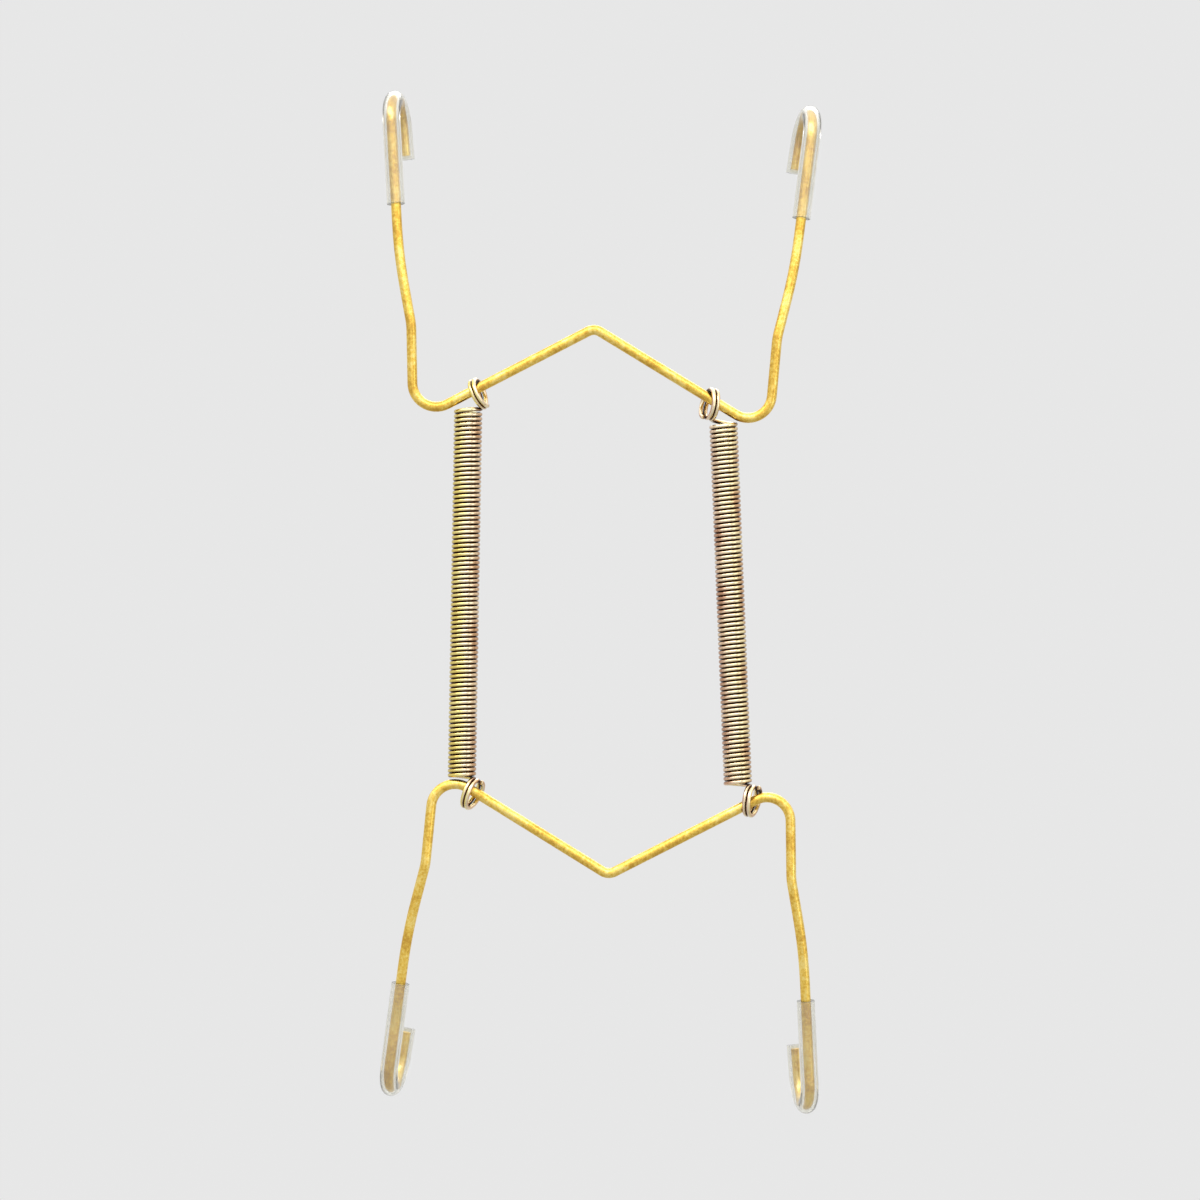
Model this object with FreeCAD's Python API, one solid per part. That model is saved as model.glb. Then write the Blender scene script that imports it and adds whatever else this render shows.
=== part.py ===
import FreeCAD
import Part
import math
import os

# Wire plate hanger. Two equal forms of bent wire, one upright and one upside
# down, are drawn together by two close-wound extension springs. Each form has a
# shallow vee, two shoulders and two arms that end in a hook, and each hook
# wears a clear sleeve. The plate lies against the vees and the springs, and the
# four hooks reach round its rim.
#
# Millimetres and degrees. X runs across the hanger, Z is up, and +Y is the
# plate's side, so the wall lies towards -Y. The origin is the point under the
# upper vee that rests on the wall hook.

V = FreeCAD.Vector
ACROSS = V(1, 0, 0)
FORWARD = V(0, 1, 0)

# Bent wire form. Spans and heights are measured between the corners of the
# centre line, as if no bend were rounded.
WIRE_DIA = 1.3
SHOULDER_SPAN = 46.2
VEE_DEPTH = 13.0
KINK_SPAN = 47.6
KINK_HEIGHT = 12.6
ARM_SPLAY = 12.4
ARM_LEAN = 9.0
BOW_HEIGHT = 9.1
TIP_SPLAY = 5.4
HOOK_HEIGHT = 17.4

# Bend radii of the wire's centre line.
APEX_BEND = 1.6
SHOULDER_BEND = 3.1
KINK_BEND = 6.0
BOW_BEND = 70.0
HOOK_BEND = 3.75

# Hook at the end of each arm.
HOOK_TURN = 172.0
HOOK_TOE_IN = 10.0
HOOK_LEG = 3.4

# Clear sleeve on each hook.
SLEEVE_FIT = 0.03
SLEEVE_WALL = 0.5
SLEEVE_LEG = 10.9
SLEEVE_OVERHANG = 0.5

# Place of the lower form: its vee's corner under that of the upper form.
LOWER_DROP = 70.97
LOWER_SHIFT = 4.35
LOWER_TILT = 0.4

# Extension springs. The end loops are the last turns, bent up at one side.
SPRING_WIRE = 0.57
COIL_DIA = 3.75
TURN_GAP = 0.01
LOOP_DIA = 4.3
LOOP_TURNS = 2
LOOP_TWIST = 17.0
LOOP_CLEARANCE = 0.2

# Where each loop rides on its vee, measured from the vee's corner, how far its
# free end leans to the right of upright, how far it hangs slack beyond the wire,
# and how much further than the coil's pitch its neck rises.
UPPER_LEFT_SEAT = 17.3
UPPER_LEFT_LEAN = -24.8
UPPER_LEFT_SLACK = 0.0
UPPER_LEFT_NECK = 0.1
UPPER_RIGHT_SEAT = 17.85
UPPER_RIGHT_LEAN = 10.5
UPPER_RIGHT_SLACK = 0.0
UPPER_RIGHT_NECK = 0.5
LOWER_LEFT_SEAT = 20.75
LOWER_LEFT_LEAN = -23.0
LOWER_LEFT_SLACK = 1.1
LOWER_LEFT_NECK = 0.1
LOWER_RIGHT_SEAT = 20.8
LOWER_RIGHT_LEAN = -9.0
LOWER_RIGHT_SLACK = 0.0
LOWER_RIGHT_NECK = 0.15

VEE_SLOPE = math.degrees(math.atan2(VEE_DEPTH, SHOULDER_SPAN / 2))
WIRE_RADIUS = WIRE_DIA / 2
COIL_RADIUS = (COIL_DIA - SPRING_WIRE) / 2
LOOP_RADIUS = (LOOP_DIA - SPRING_WIRE) / 2
TURN_PITCH = SPRING_WIRE + TURN_GAP


def cosine(degrees):
    return math.cos(math.radians(degrees))


def sine(degrees):
    return math.sin(math.radians(degrees))


def tangent(degrees):
    return math.tan(math.radians(degrees))


class Path:
    """A smooth line of straight runs and bends, which a round section follows."""

    def __init__(self, point, heading):
        self.start = point
        self.start_heading = heading
        self.point = point
        self.heading = heading
        self.moves = []

    def run(self, length):
        step = self.heading * length
        self.moves.append(("run", step))
        self.point = self.point + step

    def bend(self, axis, radius, angle):
        centre = self.point + axis.cross(self.heading) * radius
        turn = FreeCAD.Rotation(axis, angle)
        self.moves.append(("bend", centre, axis, angle))
        self.point = centre + turn.multVec(self.point - centre)
        self.heading = turn.multVec(self.heading)

    def bend_to(self, heading, radius):
        """Bend, at this radius, until the line runs along heading."""
        axis = self.heading.cross(heading).normalize()
        self.bend(axis, radius, math.degrees(self.heading.getAngle(heading)))

    def corner(self, point, heading, radius):
        """Run towards a corner point and round it off into heading."""
        angle = math.degrees(self.heading.getAngle(heading))
        setback = radius * tangent(angle / 2)
        self.run((point - self.point).Length - setback)
        self.bend_to(heading, radius)

    def arc_to(self, end):
        """Leave along the heading and reach end on one circle."""
        chord = end - self.point
        half = math.degrees(self.heading.getAngle(chord))
        axis = self.heading.cross(chord).normalize()
        self.bend(axis, chord.Length / (2 * sine(half)), 2 * half)

    def section(self, radius):
        return Part.makeCircle(radius, self.start, self.start_heading)

    def skin(self, section):
        """Faces swept by a section along the line, and the section at its end."""
        faces = []
        for kind, *move in self.moves:
            if kind == "run":
                faces.append(section.extrude(move[0]))
                section = section.translated(move[0])
            else:
                faces.append(section.revolve(*move))
                section = section.rotated(*move)
        return faces, section


def disc(rim):
    return Part.Face(Part.Wire(rim))


def solid_of(faces):
    shell = Part.makeShell(faces)
    shell.sewShape()
    solid = Part.makeSolid(shell)
    if solid.Volume < 0:
        solid.reverse()
    return solid


def rod(path, radius):
    """Round bar along the line, cut off square at both ends."""
    section = path.section(radius)
    faces, end = path.skin(section)
    return solid_of(faces + [disc(section), disc(end)])


# Bent wire form, in its own frame: the vee's corner is the origin and the arms
# point up. Its right half is drawn, and the left half is its mirror image.

VEE_HEADING = V(cosine(VEE_SLOPE), 0, -sine(VEE_SLOPE))
SHOULDER = V(SHOULDER_SPAN / 2, 0, -VEE_DEPTH)
KINK = V(KINK_SPAN / 2, 0, KINK_HEIGHT - VEE_DEPTH)
RISER_HEADING = (KINK - SHOULDER).normalize()
ARM_HEADING = V(tangent(ARM_SPLAY), tangent(ARM_LEAN), 1)
TIP_HEADING = V(tangent(TIP_SPLAY), tangent(ARM_LEAN), 1)
BOW = KINK + ARM_HEADING * BOW_HEIGHT
HOOK = BOW + TIP_HEADING * HOOK_HEIGHT
ARM_HEADING.normalize()
TIP_HEADING.normalize()
APEX_SAG = APEX_BEND / cosine(VEE_SLOPE) - APEX_BEND


def add_hook(path, leg):
    """Turn round towards the plate and a little inwards, then run back."""
    reach = FORWARD * cosine(HOOK_TOE_IN) - ACROSS * sine(HOOK_TOE_IN)
    axis = path.heading.cross(reach).normalize()
    path.bend(axis, HOOK_BEND, HOOK_TURN)
    path.run(leg)


def right_half_path():
    path = Path(V(0, 0, -APEX_SAG), ACROSS)
    path.bend_to(VEE_HEADING, APEX_BEND)
    path.corner(SHOULDER, RISER_HEADING, SHOULDER_BEND)
    path.corner(KINK, ARM_HEADING, KINK_BEND)
    path.corner(BOW, TIP_HEADING, BOW_BEND)
    path.run((HOOK - path.point).Length)
    add_hook(path, HOOK_LEG)
    return path


def mirrored(shape):
    return shape.mirror(V(0, 0, 0), ACROSS)


def wire_form():
    path = right_half_path()
    faces, end = path.skin(path.section(WIRE_RADIUS))
    faces.append(disc(end))
    return solid_of(faces + [mirrored(face) for face in faces])


def right_sleeve():
    path = Path(HOOK - TIP_HEADING * SLEEVE_LEG, TIP_HEADING)
    path.run(SLEEVE_LEG)
    add_hook(path, HOOK_LEG + SLEEVE_OVERHANG)
    bore_radius = WIRE_RADIUS + SLEEVE_FIT
    return rod(path, bore_radius + SLEEVE_WALL).cut(rod(path, bore_radius))


# Places of the two forms in the hanger.

CORNER_HEIGHT = APEX_SAG + WIRE_RADIUS
UPPER_PLACE = FreeCAD.Placement(
    V(0, 0, CORNER_HEIGHT),
    FreeCAD.Rotation(FORWARD, 0),
)
LOWER_PLACE = FreeCAD.Placement(
    V(LOWER_SHIFT, 0, CORNER_HEIGHT - LOWER_DROP),
    FreeCAD.Rotation(FORWARD, 180 + LOWER_TILT),
)


def placed(shape, place):
    return shape.transformed(place.toMatrix())


class Loop:
    """End loop of a spring: how it rides on a vee and where the coil meets it.

    Unless it hangs slack, the loop's outer turns clear the wire by the same gap,
    however the loop slants across that wire.
    """

    def __init__(self, place, own_side, upward, side, seat, lean, slack, neck):
        arm = place.Rotation.multVec(V(own_side * VEE_HEADING.x, 0, VEE_HEADING.z))
        crossing = place.Base + arm * seat
        self.out = V(sine(lean), 0, upward * cosine(lean))
        level = V(self.out.z, 0, -self.out.x) * (upward * side)
        self.advance = level * cosine(LOOP_TWIST) - FORWARD * sine(LOOP_TWIST)
        slant = abs(self.out.dot(arm))
        apart = SPRING_WIRE / 2 + WIRE_RADIUS + LOOP_CLEARANCE
        apart = apart + slant * (LOOP_TURNS - 1) * TURN_PITCH / 2
        tip = crossing + self.out * (apart / math.sqrt(1 - slant ** 2) + slack)
        foot = tip - self.out * (2 * LOOP_RADIUS)
        self.foot = foot - self.advance * (LOOP_TURNS * TURN_PITCH / 2)
        self.neck = (180, TURN_PITCH / 2 + neck)

    def add_to(self, path):
        """Wind the loop's turns on from the coil's end, half a turn at a time."""
        for half in range(1, 2 * LOOP_TURNS + 1):
            height = 2 * LOOP_RADIUS * (half % 2)
            along = half * TURN_PITCH / 2
            path.arc_to(self.foot + self.out * height + self.advance * along)


def spring(top, bottom, top_angle, bottom_angle):
    """Close-wound coil between the feet of two loops.

    The angles say where on the coil each foot lies, counted from the coil's
    right side towards the plate, and the coil has as many whole turns between
    them as fit. One more half turn at each end rises further, as a neck that
    leads into the loop.
    """
    reach = top.foot - bottom.foot
    sidestep = COIL_RADIUS * (cosine(top_angle) - cosine(bottom_angle))
    length = math.sqrt(reach.Length ** 2 - sidestep ** 2)
    aside = V(reach.z, 0, -reach.x)
    axis = (reach * length - aside * sidestep).normalize()
    right = V(axis.z, 0, -axis.x)

    def spoke(angle):
        return right * cosine(angle) + FORWARD * sine(angle)

    wound_length = length - top.neck[1] - bottom.neck[1]
    part_turn = (top_angle - bottom_angle) / 360
    turns = math.floor(wound_length / TURN_PITCH - part_turn) + part_turn
    half_turns = round(2 * turns)
    half_turn = (360 * turns / half_turns, wound_length / half_turns)

    heading = spoke(bottom_angle + 90)
    coil = Path(bottom.foot, heading)
    middle = bottom.foot - spoke(bottom_angle) * COIL_RADIUS
    angle = bottom_angle
    for turn, rise in [bottom.neck] + [half_turn] * half_turns + [top.neck]:
        angle = angle + turn
        middle = middle + axis * rise
        coil.arc_to(middle + spoke(angle) * COIL_RADIUS)
    top.add_to(coil)
    tail = Path(bottom.foot, heading * -1)
    bottom.add_to(tail)

    section = coil.section(SPRING_WIRE / 2)
    coil_skin, coil_end = coil.skin(section)
    tail_skin, tail_end = tail.skin(section)
    return solid_of(coil_skin + tail_skin + [disc(coil_end), disc(tail_end)])


upper_left_loop = Loop(
    UPPER_PLACE, -1, 1, 1,
    UPPER_LEFT_SEAT, UPPER_LEFT_LEAN, UPPER_LEFT_SLACK, UPPER_LEFT_NECK,
)
upper_right_loop = Loop(
    UPPER_PLACE, 1, 1, -1,
    UPPER_RIGHT_SEAT, UPPER_RIGHT_LEAN, UPPER_RIGHT_SLACK, UPPER_RIGHT_NECK,
)
lower_left_loop = Loop(
    LOWER_PLACE, 1, -1, 1,
    LOWER_LEFT_SEAT, LOWER_LEFT_LEAN, LOWER_LEFT_SLACK, LOWER_LEFT_NECK,
)
lower_right_loop = Loop(
    LOWER_PLACE, -1, -1, 1,
    LOWER_RIGHT_SEAT, LOWER_RIGHT_LEAN, LOWER_RIGHT_SLACK, LOWER_RIGHT_NECK,
)

form = wire_form()
sleeve = right_sleeve()
parts = {
    "upper_wire": placed(form, UPPER_PLACE),
    "lower_wire": placed(form, LOWER_PLACE),
    "upper_right_tip": placed(sleeve, UPPER_PLACE),
    "upper_left_tip": placed(mirrored(sleeve), UPPER_PLACE),
    "lower_left_tip": placed(sleeve, LOWER_PLACE),
    "lower_right_tip": placed(mirrored(sleeve), LOWER_PLACE),
    "left_spring": spring(upper_left_loop, lower_left_loop, -LOOP_TWIST, -LOOP_TWIST),
    "right_spring": spring(upper_right_loop, lower_right_loop, 180 + LOOP_TWIST, -LOOP_TWIST),
}

os.makedirs("parts", exist_ok=True)
for name, shape in parts.items():
    shape.exportStep("parts/" + name + ".step")
    box = shape.BoundBox
    print(name, shape.isValid(), len(shape.Solids), round(shape.Volume, 2), box)
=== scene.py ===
import math

import bpy
from mathutils import Matrix, Quaternion, Vector


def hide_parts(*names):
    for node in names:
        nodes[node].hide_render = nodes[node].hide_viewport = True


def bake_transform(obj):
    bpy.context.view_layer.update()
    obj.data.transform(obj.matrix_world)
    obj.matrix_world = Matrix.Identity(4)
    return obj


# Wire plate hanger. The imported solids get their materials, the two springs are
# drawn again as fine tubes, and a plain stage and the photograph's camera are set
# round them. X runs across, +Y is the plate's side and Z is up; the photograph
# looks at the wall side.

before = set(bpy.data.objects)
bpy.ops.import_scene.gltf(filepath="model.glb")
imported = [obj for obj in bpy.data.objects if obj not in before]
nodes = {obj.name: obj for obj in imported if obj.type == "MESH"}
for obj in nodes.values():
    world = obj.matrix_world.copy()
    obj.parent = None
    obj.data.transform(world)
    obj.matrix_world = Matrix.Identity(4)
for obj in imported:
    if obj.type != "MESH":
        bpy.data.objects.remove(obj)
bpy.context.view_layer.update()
scene = bpy.context.scene
scene.view_settings.view_transform = "Standard"

MM = 0.001
FORWARD = Vector((0, 1, 0))


# Materials

# Colour sockets of a Mix node, which share their names with its other sockets.
MIX_A = 6
MIX_B = 7
MIX_RESULT = 2


def new_material(name):
    material = bpy.data.materials.new(name)
    material.use_nodes = True
    tree = material.node_tree
    return material, tree, tree.nodes["Principled BSDF"]


def node(tree, kind, inputs=(), **settings):
    """New node, with each input linked to a socket or set to a value."""
    made = tree.nodes.new(kind)
    for key, value in settings.items():
        setattr(made, key, value)
    for key, value in dict(inputs).items():
        if isinstance(value, bpy.types.NodeSocket):
            tree.links.new(value, made.inputs[key])
        else:
            made.inputs[key].default_value = value
    return made


def object_noise(tree, scale, detail=3.0, roughness=0.5, stretch=(1, 1, 1)):
    """Noise in the part's own frame, in cycles per metre."""
    place = node(tree, "ShaderNodeTexCoord")
    mapping = node(
        tree,
        "ShaderNodeMapping",
        {"Vector": place.outputs["Object"], "Scale": stretch},
    )
    made = node(
        tree,
        "ShaderNodeTexNoise",
        {
            "Vector": mapping.outputs["Vector"],
            "Scale": scale,
            "Detail": detail,
            "Roughness": roughness,
        },
    )
    return made.outputs["Fac"]


def combine(tree, operation, first, second):
    made = node(tree, "ShaderNodeMath", {0: first, 1: second}, operation=operation)
    return made.outputs["Value"]


def ramp(tree, factor, *stops):
    """Colours between stops, each a position and a colour."""
    made = node(tree, "ShaderNodeValToRGB", {"Fac": factor})
    elements = made.color_ramp.elements
    while len(elements) < len(stops):
        elements.new(0.5)
    for element, (position, colour) in zip(elements, stops):
        element.position = position
        element.color = (*colour, 1)
    return made.outputs["Color"]


def spread(tree, factor, low, high, start=0.3, end=0.7):
    """Value that goes from low to high while the factor goes from start to end.

    The usual start and end take in most of what a noise gives.
    """
    made = node(
        tree,
        "ShaderNodeMapRange",
        {"Value": factor, "From Min": start, "From Max": end, "To Min": low, "To Max": high},
    )
    return made.outputs["Result"]


def bump(tree, shader, height, distance, strength):
    made = node(
        tree,
        "ShaderNodeBump",
        {"Height": height, "Distance": distance, "Strength": strength},
    )
    tree.links.new(made.outputs["Normal"], shader.inputs["Normal"])


def plated_wire():
    """Bright brass plating: warm patches, fine flecks, draw marks and a soft polish."""
    material, tree, shader = new_material("plated_wire")
    patches = object_noise(tree, scale=330)
    flecks = object_noise(tree, scale=2700, roughness=0.65)
    both = combine(tree, "ADD", patches, flecks)
    plating = ramp(
        tree,
        spread(tree, both, low=0.0, high=1.0, start=0.76, end=1.24),
        (0.08, (0.62, 0.36, 0.06)),
        (0.50, (0.82, 0.55, 0.10)),
        (0.92, (0.91, 0.70, 0.22)),
    )
    tree.links.new(plating, shader.inputs["Base Color"])
    shader.inputs["Metallic"].default_value = 1.0
    marks = object_noise(tree, scale=2600, detail=2, stretch=(1, 1, 0.12))
    tree.links.new(spread(tree, marks, low=0.27, high=0.42), shader.inputs["Roughness"])
    bump(tree, shader, marks, distance=0.01 * MM, strength=0.6)
    return material


def spring_steel(name, *film_and_sheen):
    """Plated spring wire, with shade painted dark between its turns.

    A thin oxide film gives it faint colours in patches all over, and a painted sheen
    tints it from one side of the coil to the other where it faces the wall.
    """
    material, tree, shader = new_material(name)
    # Painted sheen: the colour shifts from one side of the coil to the other by which way the
    # surface faces, standing in for the film's coloured reflections.
    surface = node(tree, "ShaderNodeNewGeometry")
    facing = node(tree, "ShaderNodeSeparateXYZ", {"Vector": surface.outputs["Normal"]})
    wall_side = spread(tree, facing.outputs["Y"], low=0.5, high=0.0, start=-0.2, end=0.6)
    painted_sheen_across = combine(tree, "MULTIPLY", facing.outputs["X"], wall_side)
    patches = spread(tree, object_noise(tree, scale=210), low=0.28, high=0.72)
    # The spring's colour here is its film in patches plus the painted sheen across the coil.
    plating = ramp(tree, combine(tree, "ADD", painted_sheen_across, patches), *film_and_sheen)
    # Painted shade: ambient occlusion darkens the colour to near black between the turns, where
    # shade falls.
    crevice_shade_mask = node(tree, "ShaderNodeAmbientOcclusion", {"Distance": 0.6 * MM}, samples=8)
    painted_shade = ramp(
        tree,
        crevice_shade_mask.outputs["AO"],
        (0.62, (0.012, 0.006, 0.003)),
        (0.86, (0.31, 0.16, 0.06)),
        (0.98, (1, 1, 1)),
    )
    with_painted_shade = node(
        tree,
        "ShaderNodeMix",
        {"Factor": 1.0, MIX_A: plating, MIX_B: painted_shade},
        data_type="RGBA",
        blend_type="MULTIPLY",
    )
    tree.links.new(with_painted_shade.outputs[MIX_RESULT], shader.inputs["Base Color"])
    shader.inputs["Metallic"].default_value = 1.0
    grain = object_noise(tree, scale=5200, detail=2)
    tree.links.new(spread(tree, grain, low=0.13, high=0.24), shader.inputs["Roughness"])
    bump(tree, shader, grain, distance=0.006 * MM, strength=0.5)
    return material


def clear_vinyl():
    """Clear soft tube: a little milky, with a slightly uneven skin."""
    material, tree, shader = new_material("clear_vinyl")
    haze = ramp(
        tree,
        object_noise(tree, scale=320),
        (0.3, (0.745, 0.73, 0.65)),
        (0.7, (0.855, 0.845, 0.78)),
    )
    tree.links.new(haze, shader.inputs["Base Color"])
    shader.inputs["Transmission Weight"].default_value = 0.95
    shader.inputs["IOR"].default_value = 1.5
    skin = object_noise(tree, scale=900, detail=2)
    tree.links.new(spread(tree, skin, low=0.02, high=0.06), shader.inputs["Roughness"])
    bump(tree, shader, skin, distance=0.03 * MM, strength=0.35)
    return material


def dress(obj, material):
    obj.data.materials.clear()
    obj.data.materials.append(material)


brass = plated_wire()
vinyl = clear_vinyl()
# Film colours of each spring, spread across the coil by the painted sheen and the patches.
left_steel = spring_steel(
    "left_spring_steel",
    (0.05, (0.80, 0.65, 0.18)),
    (0.34, (0.92, 0.81, 0.34)),
    (0.58, (0.90, 0.79, 0.54)),
    (0.80, (0.87, 0.69, 0.46)),
    (0.97, (0.62, 0.38, 0.20)),
)
right_steel = spring_steel(
    "right_spring_steel",
    (0.03, (0.56, 0.33, 0.21)),
    (0.20, (0.86, 0.67, 0.49)),
    (0.44, (0.90, 0.79, 0.54)),
    (0.76, (0.90, 0.78, 0.45)),
    (0.97, (0.62, 0.39, 0.21)),
)

for name in ("upper_wire", "lower_wire"):
    dress(nodes[name], brass)
for name in ("upper_left_tip", "upper_right_tip", "lower_left_tip", "lower_right_tip"):
    dress(nodes[name], vinyl)
    # Light reaches the wire inside a clear sleeve.
    nodes[name].visible_shadow = False


# Springs: the coil that the solids have, drawn again as one fine tube. Sizes in
# millimetres, as in the source.

WIRE_DIA = 1.3
SHOULDER_SPAN = 46.2
VEE_DEPTH = 13.0
APEX_BEND = 1.6
LOWER_DROP = 70.97
LOWER_SHIFT = 4.35
LOWER_TILT = 0.4
SPRING_WIRE = 0.57
COIL_DIA = 3.75
TURN_GAP = 0.01
LOOP_DIA = 4.3
LOOP_TURNS = 2
LOOP_TWIST = math.radians(17.0)
LOOP_CLEARANCE = 0.2

# How fine the tube is, and how its cut ends are rounded, as shares of its radius.
COIL_STEPS = 12
LOOP_STEPS = 16
TUBE_SIDES = 12
END_RADIUS = 0.8
END_LENGTH = 0.2

VEE_SLOPE = math.atan2(VEE_DEPTH, SHOULDER_SPAN / 2)
COIL_RADIUS = (COIL_DIA - SPRING_WIRE) / 2
LOOP_RADIUS = (LOOP_DIA - SPRING_WIRE) / 2
TURN_PITCH = SPRING_WIRE + TURN_GAP
CORNER_HEIGHT = APEX_BEND / math.cos(VEE_SLOPE) - APEX_BEND + WIRE_DIA / 2

# Corner of each form's vee and the form's rotation.
UPPER = (Vector((0, 0, CORNER_HEIGHT)), Matrix.Identity(3))
LOWER = (
    Vector((LOWER_SHIFT, 0, CORNER_HEIGHT - LOWER_DROP)),
    Matrix.Rotation(math.radians(180 + LOWER_TILT), 3, "Y"),
)


class Line:
    """Centre line of arcs that run smoothly on from each other."""

    def __init__(self, point, heading):
        self.points = [point.copy()]
        self.heading = heading.copy()

    def arc_to(self, end, steps):
        point = self.points[-1]
        chord = end - point
        half = self.heading.angle(chord)
        axis = self.heading.cross(chord).normalized()
        radius = chord.length / (2 * math.sin(half))
        centre = point + axis.cross(self.heading) * radius
        for step in range(1, steps + 1):
            turn = Quaternion(axis, 2 * half * step / steps)
            self.points.append(centre + turn @ (point - centre))
        self.heading = Quaternion(axis, 2 * half) @ self.heading


class Loop:
    """End loop of a spring: how it rides on a vee and where the coil meets it."""

    def __init__(self, form, own_side, upward, side, seat, lean, neck, slack=0.0):
        corner, rotation = form
        arm = rotation @ Vector((own_side * math.cos(VEE_SLOPE), 0, -math.sin(VEE_SLOPE)))
        crossing = corner + arm * seat
        lean = math.radians(lean)
        self.out = Vector((math.sin(lean), 0, upward * math.cos(lean)))
        level = Vector((self.out.z, 0, -self.out.x)) * (upward * side)
        self.advance = level * math.cos(LOOP_TWIST) - FORWARD * math.sin(LOOP_TWIST)
        slant = abs(self.out.dot(arm))
        apart = SPRING_WIRE / 2 + WIRE_DIA / 2 + LOOP_CLEARANCE
        apart += slant * (LOOP_TURNS - 1) * TURN_PITCH / 2
        tip = crossing + self.out * (apart / math.sqrt(1 - slant ** 2) + slack)
        foot = tip - self.out * (2 * LOOP_RADIUS)
        self.foot = foot - self.advance * (LOOP_TURNS * TURN_PITCH / 2)
        self.neck = (math.pi, TURN_PITCH / 2 + neck)

    def add_to(self, line):
        """Wind the loop's turns on from the coil's end, half a turn at a time."""
        for half in range(1, 2 * LOOP_TURNS + 1):
            height = 2 * LOOP_RADIUS * (half % 2)
            along = half * TURN_PITCH / 2
            line.arc_to(self.foot + self.out * height + self.advance * along, LOOP_STEPS)


def spring_line(top, bottom, top_angle, bottom_angle):
    """Points of the whole spring, from the end of the bottom loop to that of the top one."""
    reach = top.foot - bottom.foot
    sidestep = COIL_RADIUS * (math.cos(top_angle) - math.cos(bottom_angle))
    length = math.sqrt(reach.length_squared - sidestep ** 2)
    aside = Vector((reach.z, 0, -reach.x))
    axis = (reach * length - aside * sidestep).normalized()
    right = Vector((axis.z, 0, -axis.x))

    def spoke(angle):
        return right * math.cos(angle) + FORWARD * math.sin(angle)

    wound = length - top.neck[1] - bottom.neck[1]
    part_turn = (top_angle - bottom_angle) / (2 * math.pi)
    turns = math.floor(wound / TURN_PITCH - part_turn) + part_turn
    half_turns = round(2 * turns)
    half_turn = (2 * math.pi * turns / half_turns, wound / half_turns)

    heading = spoke(bottom_angle + math.pi / 2)
    coil = Line(bottom.foot, heading)
    middle = bottom.foot - spoke(bottom_angle) * COIL_RADIUS
    angle = bottom_angle
    for turn, rise in [bottom.neck] + [half_turn] * half_turns + [top.neck]:
        angle += turn
        middle = middle + axis * rise
        coil.arc_to(middle + spoke(angle) * COIL_RADIUS, COIL_STEPS)
    top.add_to(coil)
    tail = Line(bottom.foot, -heading)
    bottom.add_to(tail)
    return tail.points[:0:-1] + coil.points


def tube(name, points, radius):
    """Round wire along the points, and the centre that each of its vertices lies round."""
    count = len(points)
    tangents = []
    for index in range(count):
        before = points[max(index - 1, 0)]
        after = points[min(index + 1, count - 1)]
        tangents.append((after - before).normalized())
    edge = END_LENGTH * radius
    rings = [(points[0], tangents[0], END_RADIUS * radius)]
    rings.append((points[0] + tangents[0] * edge, tangents[0], radius))
    rings += [(points[i], tangents[i], radius) for i in range(1, count - 1)]
    rings.append((points[-1] - tangents[-1] * edge, tangents[-1], radius))
    rings.append((points[-1], tangents[-1], END_RADIUS * radius))

    vertices, centres = [], []
    side = tangents[0].orthogonal().normalized()
    for centre, tangent, size in rings:
        side = (side - tangent * side.dot(tangent)).normalized()
        other = tangent.cross(side)
        for step in range(TUBE_SIDES):
            turn = 2 * math.pi * step / TUBE_SIDES
            spoke = side * math.cos(turn) + other * math.sin(turn)
            vertices.append((centre + spoke * size) * MM)
            centres.append(centre * MM)
    faces = []
    for ring in range(len(rings) - 1):
        for step in range(TUBE_SIDES):
            a = ring * TUBE_SIDES + step
            b = ring * TUBE_SIDES + (step + 1) % TUBE_SIDES
            faces.append((a, b, b + TUBE_SIDES, a + TUBE_SIDES))
    last = (len(rings) - 1) * TUBE_SIDES
    faces.append(tuple(reversed(range(TUBE_SIDES))))
    faces.append(tuple(range(last, last + TUBE_SIDES)))
    mesh = bpy.data.meshes.new(name)
    mesh.from_pydata(vertices, [], faces)
    mesh.polygons.foreach_set("use_smooth", [len(face) == 4 for face in faces])
    mesh.update()
    obj = bpy.data.objects.new(name, mesh)
    scene.collection.objects.link(obj)
    return obj, centres


upper_left = Loop(UPPER, own_side=-1, upward=1, side=1, seat=17.3, lean=-24.8, neck=0.1)
upper_right = Loop(UPPER, own_side=1, upward=1, side=-1, seat=17.85, lean=10.5, neck=0.5)
lower_left = Loop(LOWER, own_side=1, upward=-1, side=1, seat=20.75, lean=-23.0, neck=0.1, slack=1.1)
lower_right = Loop(LOWER, own_side=-1, upward=-1, side=1, seat=20.8, lean=-9.0, neck=0.15)
left_line = spring_line(upper_left, lower_left, -LOOP_TWIST, -LOOP_TWIST)
right_line = spring_line(upper_right, lower_right, math.pi + LOOP_TWIST, -LOOP_TWIST)

for side, line, steel in (("left", left_line, left_steel), ("right", right_line, right_steel)):
    coil, centres = tube(side + "_coil", line, SPRING_WIRE / 2)
    dress(coil, steel)
    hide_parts(side + "_spring")
    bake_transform(coil)


# Stage: a pale floor that fades out, a pale surround and soft lamps

FLOOR_REACH = 3.2
FLOOR_LEVEL = -0.4
FLOOR_FADE_START = 1.6
FLOOR_FADE_END = 3.1

# Brightness of the surround by height, from straight down (0) to straight up (1).
SURROUND = (
    (0.0, 0.56),
    (0.22, 0.76),
    (0.36, 0.84),
    (0.46, 0.80),
    (0.60, 0.80),
    (0.72, 1.35),
    (1.0, 1.50),
)

LAMP_TARGET = Vector((0.002, 0, -0.035))


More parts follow.
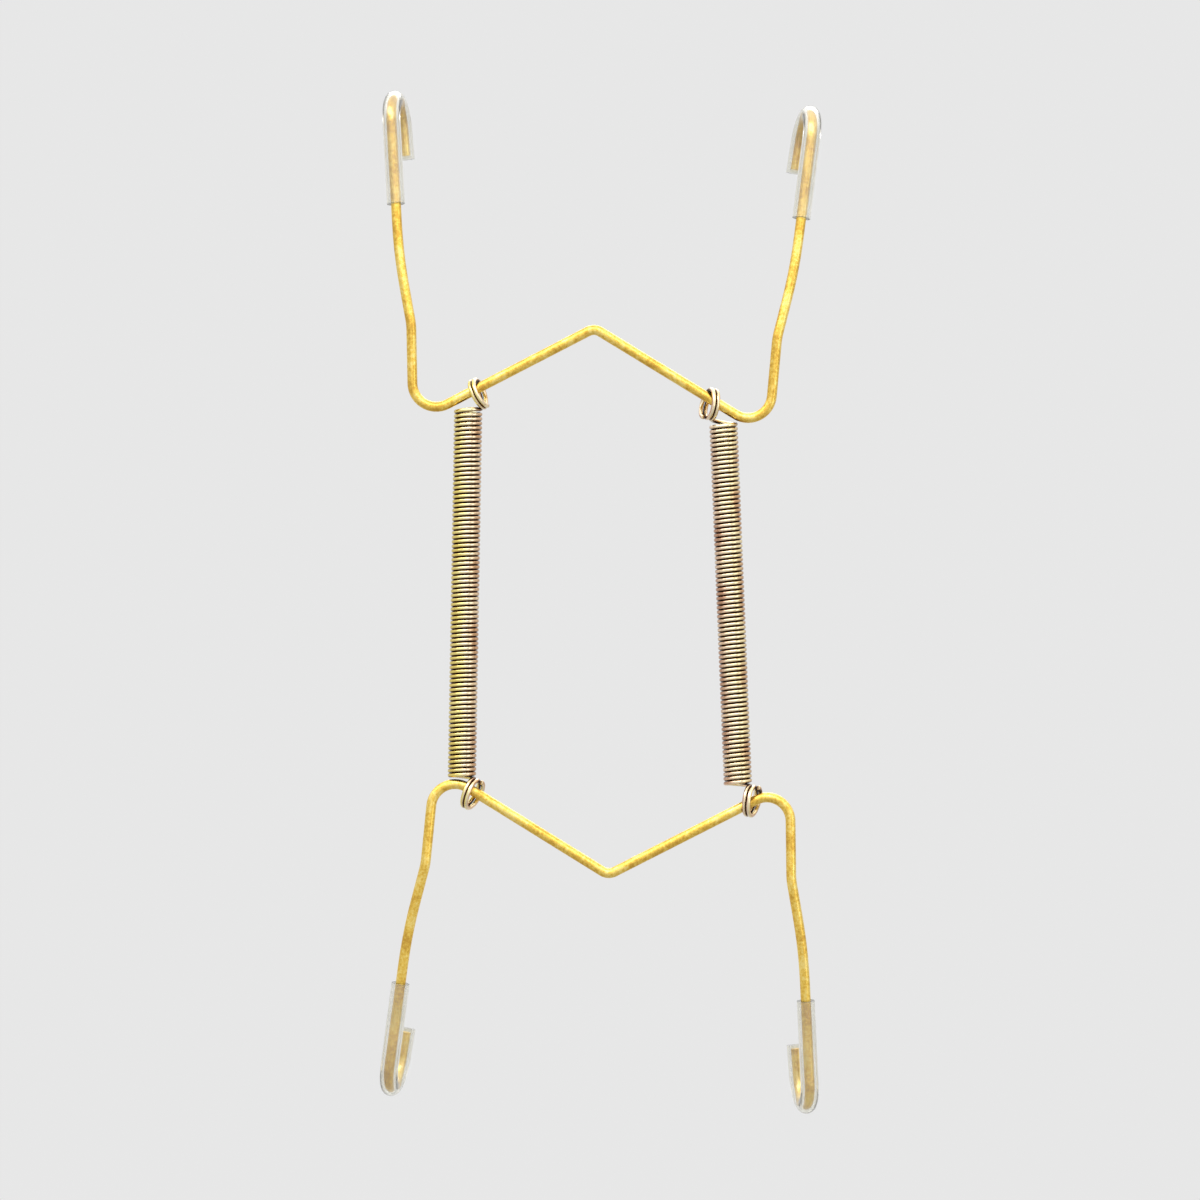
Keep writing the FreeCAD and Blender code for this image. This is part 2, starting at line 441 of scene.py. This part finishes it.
def floor():
    corners = [
        (-FLOOR_REACH, -FLOOR_REACH, FLOOR_LEVEL),
        (FLOOR_REACH, -FLOOR_REACH, FLOOR_LEVEL),
        (FLOOR_REACH, FLOOR_REACH, FLOOR_LEVEL),
        (-FLOOR_REACH, FLOOR_REACH, FLOOR_LEVEL),
    ]
    mesh = bpy.data.meshes.new("floor")
    mesh.from_pydata(corners, [], [(0, 1, 2, 3)])
    obj = bpy.data.objects.new("floor", mesh)
    scene.collection.objects.link(obj)
    material, tree, shader = new_material("pale_floor")
    shader.inputs["Base Color"].default_value = (0.50, 0.50, 0.495, 1)
    shader.inputs["Roughness"].default_value = 0.9
    place = node(tree, "ShaderNodeTexCoord")
    flat = node(
        tree,
        "ShaderNodeVectorMath",
        {0: place.outputs["Object"], 1: (1, 1, 0)},
        operation="MULTIPLY",
    )
    distance = node(tree, "ShaderNodeVectorMath", {0: flat.outputs["Vector"]}, operation="LENGTH")
    fade = spread(
        tree,
        distance.outputs["Value"],
        low=1.0,
        high=0.0,
        start=FLOOR_FADE_START,
        end=FLOOR_FADE_END,
    )
    tree.links.new(fade, shader.inputs["Alpha"])
    dress(obj, material)
    obj.visible_glossy = False


def surround():
    """Pale all round, brightest overhead and darker underneath."""
    world = bpy.data.worlds.new("surround")
    scene.world = world
    world.use_nodes = True
    tree = world.node_tree
    place = node(tree, "ShaderNodeTexCoord")
    direction = node(tree, "ShaderNodeSeparateXYZ", {"Vector": place.outputs["Generated"]})
    height = spread(tree, direction.outputs["Z"], low=0.0, high=1.0, start=-1.0, end=1.0)
    greys = [(stop, (level, level, level)) for stop, level in SURROUND]
    background = tree.nodes["Background"]
    tree.links.new(ramp(tree, height, *greys), background.inputs["Color"])
    background.inputs["Strength"].default_value = 1.0


def panel(name, location, size, power):
    """Soft rectangular lamp that faces the hanger."""
    lamp = bpy.data.lights.new(name, "AREA")
    lamp.shape = "RECTANGLE"
    lamp.size, lamp.size_y = size
    lamp.energy = power
    obj = bpy.data.objects.new(name, lamp)
    obj.location = location
    obj.rotation_euler = (LAMP_TARGET - Vector(location)).to_track_quat("-Z", "Y").to_euler()
    scene.collection.objects.link(obj)


floor()
surround()
panel("key", location=(-0.25, -0.55, 0.75), size=(1.6, 0.45), power=7)
panel("front", location=(-0.1, -1.4, 0.2), size=(1.4, 1.0), power=1.6)
panel("fill", location=(0.8, -0.6, 0.1), size=(0.4, 0.8), power=1.2)
panel("back", location=(0.1, 0.8, 0.6), size=(0.8, 0.4), power=3)


# Camera, turned a little about its own axis as in the photograph

ROLL = math.radians(2.05)
AIM = Vector((0.0020, 0, -0.0344))
DISTANCE = 0.9
FIELD = 0.156
SENSOR_WIDTH = 36
camera = bpy.data.cameras.new("camera")
camera.sensor_width = SENSOR_WIDTH
camera.lens = SENSOR_WIDTH * DISTANCE / FIELD
camera.clip_start = 0.01
viewer = bpy.data.objects.new("camera", camera)
c, s = math.cos(ROLL), math.sin(ROLL)
turn = Matrix(((c, -s, 0), (0, 0, -1), (s, c, 0)))
viewer.matrix_world = Matrix.Translation(AIM - FORWARD * DISTANCE) @ turn.to_4x4()
scene.collection.objects.link(viewer)
scene.camera = viewer
